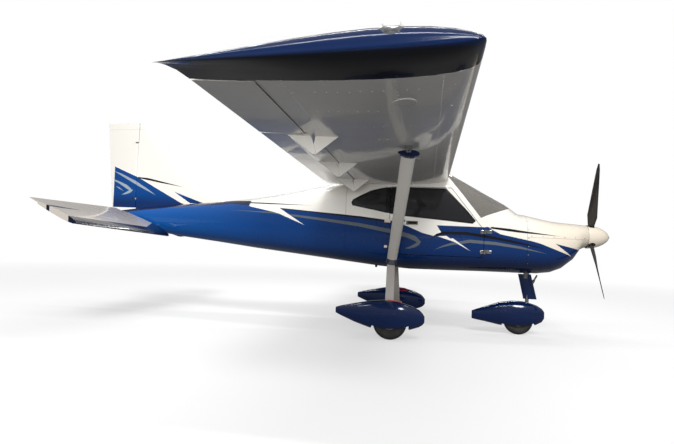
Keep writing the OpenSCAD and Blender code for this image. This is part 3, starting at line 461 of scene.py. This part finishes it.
def smoothCopy(nodeName, body, material, angle):
    # the same shape with its corners shaded round
    source = nodes[nodeName]
    bm = bmesh.new()
    bm.from_mesh(source.data)
    bmesh.ops.remove_doubles(bm, verts=bm.verts, dist=0.00002)
    for face in bm.faces:
        face.smooth = True
    for edge in bm.edges:
        edge.smooth = len(edge.link_faces) == 2 and edge.calc_face_angle(0) < math.radians(angle)
    made = meshObject(nodeName + "Skin", meshFrom(bm, nodeName + "Skin"), material, body)
    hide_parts(nodeName)


bodyOf = {name: body for body, names in frame["record"]["behaviour"]["bodies"].items() for name in names}
materialOf = {name: key for key, names in nodeMaterial.items() for name in names.split()}
smoothNodes = ("cabin_shell tail_cone upper_cowling lower_cowling spinner main_wheel_pants nose_wheel_pant right_tyre "
               "left_tyre nose_tyre propeller_blades right_door left_door windshield quarter_windows right_door_window "
               "left_door_window wing_tips right_wing left_wing wing_root_fairings right_aileron left_aileron "
               "right_flap left_flap wing_struts strut_cuffs fin rudder stabilator nose_leg_fairing").split()
sharpAngle = {"panelled": 30, "rounded": 38}
for name in smoothNodes:
    kind = "panelled" if "door" in name or name == "cabin_shell" else "rounded"
    smoothCopy(name, bodyOf[name], materialOf[name], sharpAngle[kind])
print("skins smoothed:", len(smoothNodes))


def surfaceOf(names):
    verts, faces = [], []
    for name in names:
        mesh = nodes[name].data
        base = len(verts)
        verts += [v.co.copy() for v in mesh.vertices]
        faces += [[base + i for i in p.vertices] for p in mesh.polygons]
    return BVHTree.FromPolygons(verts, faces)


def instanceTree(name, material):
    # sets one small solid on every vertex of a mesh, then makes it one real mesh
    tree = bpy.data.node_groups.new(name, "GeometryNodeTree")
    tree.interface.new_socket("Geometry", in_out="INPUT", socket_type="NodeSocketGeometry")
    for label, value in (("Head Radius", 0.0035), ("Head Height", 0.5)):
        tree.interface.new_socket(label, in_out="INPUT", socket_type="NodeSocketFloat").default_value = value
    tree.interface.new_socket("Geometry", in_out="OUTPUT", socket_type="NodeSocketGeometry")
    make, link = tree.nodes.new, tree.links.new
    source, result = make("NodeGroupInput"), make("NodeGroupOutput")
    head, points = make("GeometryNodeMeshUVSphere"), make("GeometryNodeMeshToPoints")
    place = make("GeometryNodeInstanceOnPoints")
    head.inputs["Segments"].default_value, head.inputs["Rings"].default_value = 8, 4
    turn, normal = make("FunctionNodeAlignRotationToVector"), make("GeometryNodeInputNamedAttribute")
    normal.data_type = "FLOAT_VECTOR"
    normal.inputs["Name"].default_value = "out"
    turn.axis = "Z"
    size, real = make("ShaderNodeCombineXYZ"), make("GeometryNodeRealizeInstances")
    setMaterial = make("GeometryNodeSetMaterial")
    setMaterial.inputs["Material"].default_value = material
    size.inputs[0].default_value = size.inputs[1].default_value = 1.0
    link(source.outputs["Geometry"], points.inputs["Mesh"])
    link(source.outputs["Head Radius"], head.inputs["Radius"])
    link(source.outputs["Head Height"], size.inputs[2])
    link(points.outputs[0], place.inputs["Points"])
    link(head.outputs["Mesh"], place.inputs["Instance"])
    link(normal.outputs["Attribute"], turn.inputs["Vector"])
    link(turn.outputs["Rotation"], place.inputs["Rotation"])
    link(size.outputs[0], place.inputs["Scale"])
    link(place.outputs["Instances"], real.inputs["Geometry"])
    link(real.outputs[0], setMaterial.inputs["Geometry"])
    link(setMaterial.outputs[0], result.inputs[0])
    return tree


def scatter(name, points, radius, height, material, body):
    mesh = bpy.data.meshes.new(name + "Points")
    mesh.from_pydata([p for p, n in points], [], [])
    attribute = mesh.attributes.new("out", "FLOAT_VECTOR", "POINT")
    for i, (p, n) in enumerate(points):
        attribute.data[i].vector = n
    carrier = bpy.data.objects.new(name + "Carrier", mesh)
    scene.collection.objects.link(carrier)
    tree = instanceTree(name + "Tree", mats[material])
    modifier = carrier.modifiers.new("heads", "NODES")
    modifier.node_group = tree
    ids = {item.name: item.identifier for item in tree.interface.items_tree if item.in_out == "INPUT"}
    modifier[ids["Head Radius"]], modifier[ids["Head Height"]] = radius, height
    depsgraph = bpy.context.evaluated_depsgraph_get()
    solid = bpy.data.meshes.new_from_object(carrier.evaluated_get(depsgraph), depsgraph=depsgraph)
    bpy.data.objects.remove(carrier)
    for polygon in solid.polygons:
        polygon.use_smooth = True
    return meshObject(name, solid, None, body)


def castRow(surface, start, end, direction, pitch, reach=2.0):
    # points where rays from a straight line meet a skin
    start, end, direction = Vector(start), Vector(end), Vector(direction).normalized()
    count = max(1, int((end - start).length / pitch))
    hits = []
    for i in range(count + 1):
        place, normal, index, distance = surface.ray_cast(start.lerp(end, i / count), direction, reach)
        if place is not None:
            hits.append((place, -normal if normal.dot(direction) > 0 else normal))
    return hits


rivets = {"pitch": 0.055, "radius": 0.0042, "height": 0.45, "startZ": {1: 1.2, -1: 2.5}, "lowest": 1.68,
          "hoops": (0.15, -0.65, -1.30, -1.95, -2.55, -2.85), "hoopSteps": 26, "hoopHalf": 62}
screws = {"radius": 0.0065, "height": 0.35}
wings = surfaceOf(["right_wing", "left_wing"])
wingLow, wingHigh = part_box("left_wing")
rows = []
for side in (1, -1):
    lines = []
    for rib in range(wing["ribCount"]):
        y = side * (wing["firstRib"] + rib * wing["ribs"])
        lines.append(((wingHigh[0] - 0.05, y), (0.36, y)))
    lines += [((x, side * 0.66), (x, side * 4.12)) for x in wing["rows"]]
    for start, end in lines:
        for fromBelow, z in rivets["startZ"].items():
            rows += castRow(wings, (*start, z), (*end, z), (0, 0, fromBelow), rivets["pitch"])
rows = [hit for hit in rows if hit[0].z > rivets["lowest"]]
scatter("wingRivets", rows, rivets["radius"], rivets["height"], "wing", "airframe")
cone = surfaceOf(["tail_cone"])
coneRows = []
for side in (1, -1):
    for x in rivets["hoops"]:
        for step in range(rivets["hoopSteps"]):
            angle = math.radians(rivets["hoopHalf"] * (2 * step / (rivets["hoopSteps"] - 1) - 1))
            centre = Vector((x, 0, 1.16 + (0.12 * (0.15 - x) / 3)))
            coneRows += castRow(cone, centre, centre, (0, side * math.cos(angle), math.sin(angle)), 1.0)
    coneRows += castRow(cone, (-0.70, side, 1.40), (-2.95, side, 1.325), (0, -side, 0), 0.04)
    coneRows += castRow(cone, (0.10, side, 1.02), (-2.90, side, 1.17), (0, -side, 0), 0.05)
scatter("coneRivets", coneRows, rivets["radius"], rivets["height"], "fuselage", "airframe")
cowl = surfaceOf(["upper_cowling", "lower_cowling"])
cowlRows = []
for side in (1, -1):
    cowlRows += castRow(cowl, (2.25, side, 1.145), (2.86, side, 1.145), (0, -side, 0), 0.11)
    cowlRows += castRow(cowl, (2.218, side, 1.40), (2.218, side, 0.84), (0, -side, 0), 0.09)
scatter("cowlScrews", cowlRows, screws["radius"], screws["height"], "steel", "airframe")
print("rivets and screws:", len(rows) + len(coneRows) + len(cowlRows))


def lathe(name, rings, centre, axis, material, body, slotName, segments=32, smooth=True):
    # rings are [distance along axis, radius]
    axis = Vector(axis).normalized()
    turn = Vector((0, 0, 1)).rotation_difference(axis).to_matrix()
    bm = bmesh.new()
    loops = []
    for along, radius in rings:
        loops.append([bm.verts.new(turn @ Vector((radius * math.cos(a), radius * math.sin(a), along)) + Vector(centre))
                      for a in (2 * math.pi * i / segments for i in range(segments))])
    for low, high in zip(loops, loops[1:]):
        for i in range(segments):
            bm.faces.new((low[i], low[(i + 1) % segments], high[(i + 1) % segments], high[i]))
    bm.faces.new(list(reversed(loops[0])))
    bm.faces.new(loops[-1])
    bmesh.ops.recalc_face_normals(bm, faces=bm.faces)
    for face in bm.faces:
        face.smooth = smooth and len(face.verts) == 4
    return meshObject(name, meshFrom(bm, name), material, body)


def block(name, centre, size, rounding, material, body, turn=None):
    bm = bmesh.new()
    bmesh.ops.create_cube(bm, size=1.0)
    bmesh.ops.scale(bm, vec=Vector(size), verts=bm.verts)
    bmesh.ops.bevel(bm, geom=bm.edges, offset=rounding, segments=3, profile=0.6, affect="EDGES")
    if turn:
        bmesh.ops.rotate(bm, cent=(0, 0, 0), matrix=Matrix.Rotation(turn[0], 3, turn[1]), verts=bm.verts)
    bmesh.ops.translate(bm, vec=Vector(centre), verts=bm.verts)
    for face in bm.faces:
        face.smooth = True
    return meshObject(name, meshFrom(bm, name), material, body)


def pipe(name, points, radius, material, body, slotName, cyclic=False):
    curve = bpy.data.curves.new(name, "CURVE")
    curve.dimensions, curve.bevel_depth, curve.bevel_resolution, curve.use_fill_caps = "3D", radius, 3, True
    spline = curve.splines.new("POLY")
    spline.points.add(len(points) - 1)
    for point, place in zip(spline.points, points):
        point.co = (*place, 1)
    spline.use_cyclic_u = cyclic
    carrier = bpy.data.objects.new(name + "Curve", curve)
    scene.collection.objects.link(carrier)
    depsgraph = bpy.context.evaluated_depsgraph_get()
    mesh = bpy.data.meshes.new_from_object(carrier.evaluated_get(depsgraph))
    bpy.data.objects.remove(carrier)
    for polygon in mesh.polygons:
        polygon.use_smooth = True
    return meshObject(name, mesh, material, body)


seat = {"tilt": math.radians(-14), "cushion": (0.44, 0.40, 0.10), "back": (0.06, 0.40, 0.52),
        "pedestal": (0.30, 0.26, 0.08), "crown": 0.9, "channels": 2, "fill": 0.75, "cuts": 18, "draw": 0.018}


def pad(name, low, size, crown, body, turn=None, pivot=(0, 0, 0), channels=0):
    # a crowned closed form, its sides drawn in between the corners
    bm = bmesh.new()
    bmesh.ops.create_cube(bm, size=2.0)
    bmesh.ops.subdivide_edges(bm, edges=bm.edges, cuts=seat["cuts"], use_grid_fill=True)
    thin = min(range(3), key=lambda i: size[i])
    wide = [i for i in range(3) if i != thin]
    for vert in bm.verts:
        p = vert.co
        u, v = p[wide[0]], p[wide[1]]
        dome = (1 - u ** 4) * (1 - v ** 4)
        face = 1 if p[thin] > 0 else -1
        round_ = 0.55 + 0.45 * dome ** 0.35
        sewn = 0.0
        if channels and abs(p[thin]) > 0.9:
            sewn = 0.10 * max(0.0, math.cos(math.pi * channels * v)) ** 24 * dome ** 0.5
        p[thin] = p[thin] * round_ * (1 - crown * 0.25) + face * crown * 0.25 * dome - face * sewn
        p[wide[0]] = u * (1 - seat["draw"] * (1 - v * v) * (abs(u) ** 3))
        p[wide[1]] = v * (1 - seat["draw"] * (1 - u * u) * (abs(v) ** 3))
        vert.co = Vector([low[i] + (p[i] + 1) / 2 * size[i] for i in range(3)])
    if turn:
        bmesh.ops.rotate(bm, cent=Vector(pivot), matrix=Matrix.Rotation(turn, 3, "Y"), verts=bm.verts)
    bmesh.ops.recalc_face_normals(bm, faces=bm.faces)
    for faceItem in bm.faces:
        faceItem.smooth = True
    made = meshObject(name, meshFrom(bm, name), "seat", body)


for side, label in ((1, "left"), (-1, "right")):
    low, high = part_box(label + "_seat")
    mid = (low[1] + high[1]) / 2
    rearX, baseZ = high[0] - seat["cushion"][0], low[2] + seat["pedestal"][2]
    pad(label + "Cushion", (rearX, mid - 0.2, baseZ + 0.001), seat["cushion"], seat["crown"], "airframe",
        channels=seat["channels"])
    top = baseZ + 0.102
    pad(label + "Backrest", (rearX, mid - 0.2, top), seat["back"], seat["crown"], "airframe", seat["tilt"],
        (rearX, 0, top), channels=seat["channels"])
    base = block(label + "SeatBase", (rearX + 0.21, mid, low[2] + 0.04), seat["pedestal"], 0.008, "panel", "airframe")
    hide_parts(label + "_seat")
    for z, name in ((baseZ + 0.012, "Low"), (baseZ + 0.09, "High")):
        pipe(label + "Piping" + name, [(rearX + 0.22 + 0.214 * cx, mid + 0.194 * cy, z) for cx, cy in (
            (1, 0.9), (0.95, 1), (-0.95, 1), (-1, 0.9), (-1, -0.9), (-0.95, -1), (0.95, -1), (1, -0.9))],
            0.004, "piping", "airframe", "panel_plastic", True)
print("seats made")

dash = {"rows": ((0.20, 0.040), (0.11, 0.040)), "columns": (-0.30, -0.20, -0.10, 0.10, 0.20, 0.30), "hand": 0.022}
stick = {"out": 0.225, "points": ((1.42, 0.812), (1.40, 0.95), (1.36, 1.10)), "gripAt": (1.362, 1.095),
         "grip": [(0, 0.012), (0.01, 0.017), (0.05, 0.015), (0.09, 0.018), (0.105, 0.012)]}
plastic = ("airframe", "panel_plastic")
panelLow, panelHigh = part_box("instrument_panel")
dials = [(y, z, r) for z, r in dash["rows"] for y in dash["columns"]]
for i, (y, up, radius) in enumerate(dials):
    centre = Vector((panelLow[0], y, panelLow[2] + up))
    bezel = [(0, radius), (0.006, radius), (0.008, radius - 0.004), (0.003, radius - 0.007)]
    lathe(f"dialBezel{i}", bezel, centre, (-1, 0, 0), "panel", *plastic, 24)
    lathe(f"dialFace{i}", [(0.0035, radius - 0.008), (0.004, radius - 0.009)], centre, (-1, 0, 0), "dial", *plastic, 24)
    turn = 0.7 * i
    hub = centre - Vector((0.005, 0, 0))
    point = hub + dash["hand"] * Vector((0, math.sin(turn), math.cos(turn)))
    pipe(f"dialHand{i}", [hub, point], 0.0012, "hand", *plastic)
for side, letter in ((1, "L"), (-1, "R")):
    y = side * stick["out"]
    pipe("controlStick" + letter, [(x, y, z) for x, z in stick["points"]], 0.009, "bright", "airframe", "steel")
    x, z = stick["gripAt"]
    lathe("stickGrip" + letter, stick["grip"], (x, y, z), (-0.25, 0, 1), "piping", *plastic, 20)
print("cabin fitted out")

trim = {"handle": (0.949, 1.244), "lock": (0.865, 1.264),
        "catches": [((0.674, 1.256), (0.07, 0.016, 0.034)), ((0.660, 0.968), (0.036, 0.014, 0.030))],
        "hingeHeights": (1.17, 0.95), "postPlate": (1.790, 0.060), "doorPlate": (1.712, 0.036), "edge": 0.005}
skins = surfaceOf(["cabin_shell", "right_door", "left_door"])


def onSide(x, z, side):
    place, normal, index, distance = skins.ray_cast(Vector((x, side * 1.5, z)), Vector((0, -side, 0)), 1.5)
    return place


for side, label in ((-1, "right"), (1, "left")):
    door = label + "_door"
    for z in trim["hingeHeights"]:
        for (x, width), body, part in ((trim["postPlate"], "airframe", "Post"), (trim["doorPlate"], door, "Door")):
            spot = onSide(x, z, side)
            block(f"{label}HingeCap{part}{int(z * 100)}", (x, spot.y + side * 0.003, z), (width, 0.014, 0.038),
                  trim["edge"], "bright", body)
    x, z = trim["handle"]
    spot = onSide(x, z, side)
    block(label + "HandlePlate", (x, spot.y, z), (0.13, 0.012, 0.044), trim["edge"], "steel", door)
    block(label + "HandleLever", (x + 0.006, spot.y + side * 0.010, z), (0.096, 0.012, 0.022), trim["edge"], "seal",
          door)
    spot = onSide(*trim["lock"], side)
    lathe(label + "DoorLock", [(-0.004, 0.013), (0.003, 0.013), (0.005, 0.010)], spot, (0, side, 0), "bright", door,
          "steel", 20)
    for i, ((x, z), size) in enumerate(trim["catches"]):
        spot = onSide(x, z, side)
        block(f"{label}Catch{i}", (x, spot.y, z), size, trim["edge"], "spinner", "airframe")

hatches = {"rings": [(-0.001, 0.062), (0.0025, 0.062), (0.003, 0.058)], "out": (3.72, 2.05), "x": 0.98}
gasket = {"x": 0.80, "y": 0.87, "long": 0.075, "wide": 0.032, "points": 20, "radius": 0.004, "lift": 0.002}
caps = surfaceOf(["wing_tips"])
pants = surfaceOf(["main_wheel_pants"])
up = Vector((0, 0, 1))
for side, name in ((-1, "right"), (1, "left")):
    x, z = tip["lampAt"]
    place, normal, index, distance = caps.ray_cast(Vector((x, side * 5, z)), Vector((0, -side, 0)), 2.0)
    centre = (x, place.y - side * tip["lampInset"], z)
    axis = (0, side * tip["lampAxis"][0], tip["lampAxis"][1])
    lathe(name + "LampBase", [(-0.02, 0.060), (0.028, 0.056), (0.036, 0.048)], centre, axis, "bright", "airframe",
          "steel", 28)
    lathe(name + "LampLens", [(0.030, 0.044), (0.042, 0.043), (0.054, 0.034), (0.060, 0.016)], centre, axis, "lens",
          "airframe", "light_paint", 28)
    for y in hatches["out"]:
        place, normal, index, distance = wings.ray_cast(Vector((hatches["x"], side * y, 1.2)), up, 1.0)
        lathe(f"{name}Hatch{int(y * 100)}", hatches["rings"], place, -up if normal.z > 0 else normal, "wing",
              "airframe", "white_paint", 36)
    ringPoints = []
    for i in range(gasket["points"]):
        angle = 2 * math.pi * i / gasket["points"]
        above = Vector((gasket["x"] + gasket["long"] * math.cos(angle),
                        side * (gasket["y"] + gasket["wide"] * math.sin(angle)), 0.8))
        place, normal, index, distance = pants.ray_cast(above, -up, 0.6)
        if place is not None:
            ringPoints.append(place + up * gasket["lift"])
    pipe(name + "LegGasket", ringPoints, gasket["radius"], "redLens", "airframe", "rubber", True)

damper = {"top": (2.402, 0, 0.700), "middle": (2.372, 0, 0.645), "foot": (2.334, 0, 0.575)}
pipe("noseLegDamper", list(damper.values()), 0.010, "bright", "nose_gear", "steel")
pipe("noseLegDamperSleeve", [(2.370, 0, 0.641), damper["foot"]], 0.015, "steel", "nose_gear", "steel")
lathe("bellyDrain", [(-0.03, 0.016), (0.018, 0.013), (0.024, 0.007)], (0.535, -0.22, 0.742), (0, 0, -1), "seal",
      "airframe", "steel", 20)

wheels = {"bolts": 6, "boltRadius": 0.042, "headRadius": 0.006, "headHeight": 0.7, "faceInset": 0.0165}
for name, centre, width, body in (("right", (0.763, -0.918, 0.175), 0.12, "right_main_wheel"),
                                  ("left", (0.763, 0.918, 0.175), 0.12, "left_main_wheel"),
                                  ("nose", (2.199, 0, 0.165), 0.10, "nose_wheel")):
    heads = []
    for side in (1, -1):
        for i in range(wheels["bolts"]):
            angle = 2 * math.pi * i / wheels["bolts"]
            offset = Vector((wheels["boltRadius"] * math.cos(angle), side * (width / 2 - wheels["faceInset"]),
                             wheels["boltRadius"] * math.sin(angle)))
            heads.append((Vector(centre) + offset, Vector((0, side, 0))))
    scatter(name + "WheelBolts", heads, wheels["headRadius"], wheels["headHeight"], "bright", body)
print("trim made")

stage = {"floor": (0.93, 0.93, 0.92), "bounce": (0.13, 0.13, 0.13), "size": 400.0, "shadowTo": 6.0, "fade": 9.0,
         "mirrorShare": 0.06, "low": (0.15, 0.15, 0.15), "high": (0.46, 0.46, 0.48)}


def stageMaterial():
    material, start, place, (x, y, z) = newMaterial("paleFloor")
    outputs = start.node("LightPath").socket.node.outputs
    seen, mirrored, through = (Value(start.tree, outputs[key])
                               for key in ("Is Camera Ray", "Is Glossy Ray", "Is Transmission Ray"))
    shown = (seen + through).clamp()
    matt = start.node("BsdfDiffuse", Color=shown.mix(stage["bounce"], stage["floor"]))
    white = start.node("Emission", Color=(1, 1, 1), Strength=1.0)
    away = ((x * x + y * y).maths("SQRT", x * x + y * y) - stage["shadowTo"]) / stage["fade"]
    finish(start, start.node("MixShader", i0=shown * (away.clamp() * 0.5 + 0.5) + mirrored * stage["mirrorShare"],
                             i1=matt, i2=white))
    return material


floorMesh = bpy.data.meshes.new("floor")
half = stage["size"] / 2
floorMesh.from_pydata([(-half, -half, 0), (half, -half, 0), (half, half, 0), (-half, half, 0)], [], [(0, 1, 2, 3)])
floorMesh.materials.append(stageMaterial())
floor = bpy.data.objects.new("floor", floorMesh)
scene.collection.objects.link(floor)

world = bpy.data.worlds.new("studio")
scene.world = world
world.use_nodes = True
tree = world.node_tree
for old in list(tree.nodes):
    tree.nodes.remove(old)
start = Value(tree)
pathOut = start.node("LightPath").socket.node.outputs
seen = Value(tree, pathOut["Is Camera Ray"]) + Value(tree, pathOut["Is Transmission Ray"])
height = Value(tree, start.node("SeparateXYZ", Vector=start.node("TexCoord", out=0)).socket.node.outputs[2])
ambient = start.node("Background", Color=height.clamp().mix(stage["low"], stage["high"]), Strength=1.0)
plain = start.node("Background", Color=(1, 1, 1), Strength=1.0)
backdrop = (seen + Value(tree, pathOut["Is Glossy Ray"]) * stage["mirrorShare"]).clamp()
start.node("OutputWorld", Surface=start.node("MixShader", i0=backdrop, i1=ambient, i2=plain))

# one broad source high on the near side, and long strips overhead that the gloss picks up
# each row is name, kind, place, power, length or sun angle, width
lamps = [("key", "SUN", (1.5, -6, 6.6), 1.35, 0.30, 0), ("near", "AREA", (1.5, -15, 2.4), 1500, 7, 4),
         ("nearStrip", "AREA", (0, -5.5, 6.5), 170, 7, 0.2), ("midStrip", "AREA", (0, 0.5, 7), 120, 7, 0.2),
         ("farStrip", "AREA", (0, 6, 6), 150, 7, 0.2)]
for name, kind, place, power, size, width in lamps:
    data = bpy.data.lights.new(name, kind)
    data.energy = power
    if kind == "SUN":
        data.angle = size
    else:
        data.shape, data.size, data.size_y = "RECTANGLE", size, width
    lamp = bpy.data.objects.new(name, data)
    scene.collection.objects.link(lamp)
    lamp.location = place
    lamp.visible_glossy = name != "near"
    lamp.rotation_euler = (Vector((0, 0, 1)) - Vector(place)).to_track_quat("-Z", "Y").to_euler()

view = {"place": (1.115, -6.518, 0.986), "yaw": -9.662, "pitch": 2.27, "roll": 2.231, "focal": 529.48, "width": 674}
yaw, pitch, roll = (math.radians(view[key]) for key in ("yaw", "pitch", "roll"))
ahead = Vector((math.sin(yaw) * math.cos(pitch), math.cos(yaw) * math.cos(pitch), math.sin(pitch)))
level = Vector((math.cos(yaw), -math.sin(yaw), 0))
above = level.cross(ahead)
right = level * math.cos(roll) + above * math.sin(roll)
upward = above * math.cos(roll) - level * math.sin(roll)
cameraData = bpy.data.cameras.new("camera")
cameraData.sensor_width, cameraData.lens = 36, 36 * view["focal"] / view["width"]
cameraData.clip_end = 1000
camera = bpy.data.objects.new("camera", cameraData)
scene.collection.objects.link(camera)
camera.matrix_world = Matrix((right, upward, -ahead)).transposed().to_4x4()
camera.location = view["place"]
scene.camera = camera
scene.view_settings.view_transform = "Standard"
print("stage, lamps and camera set")
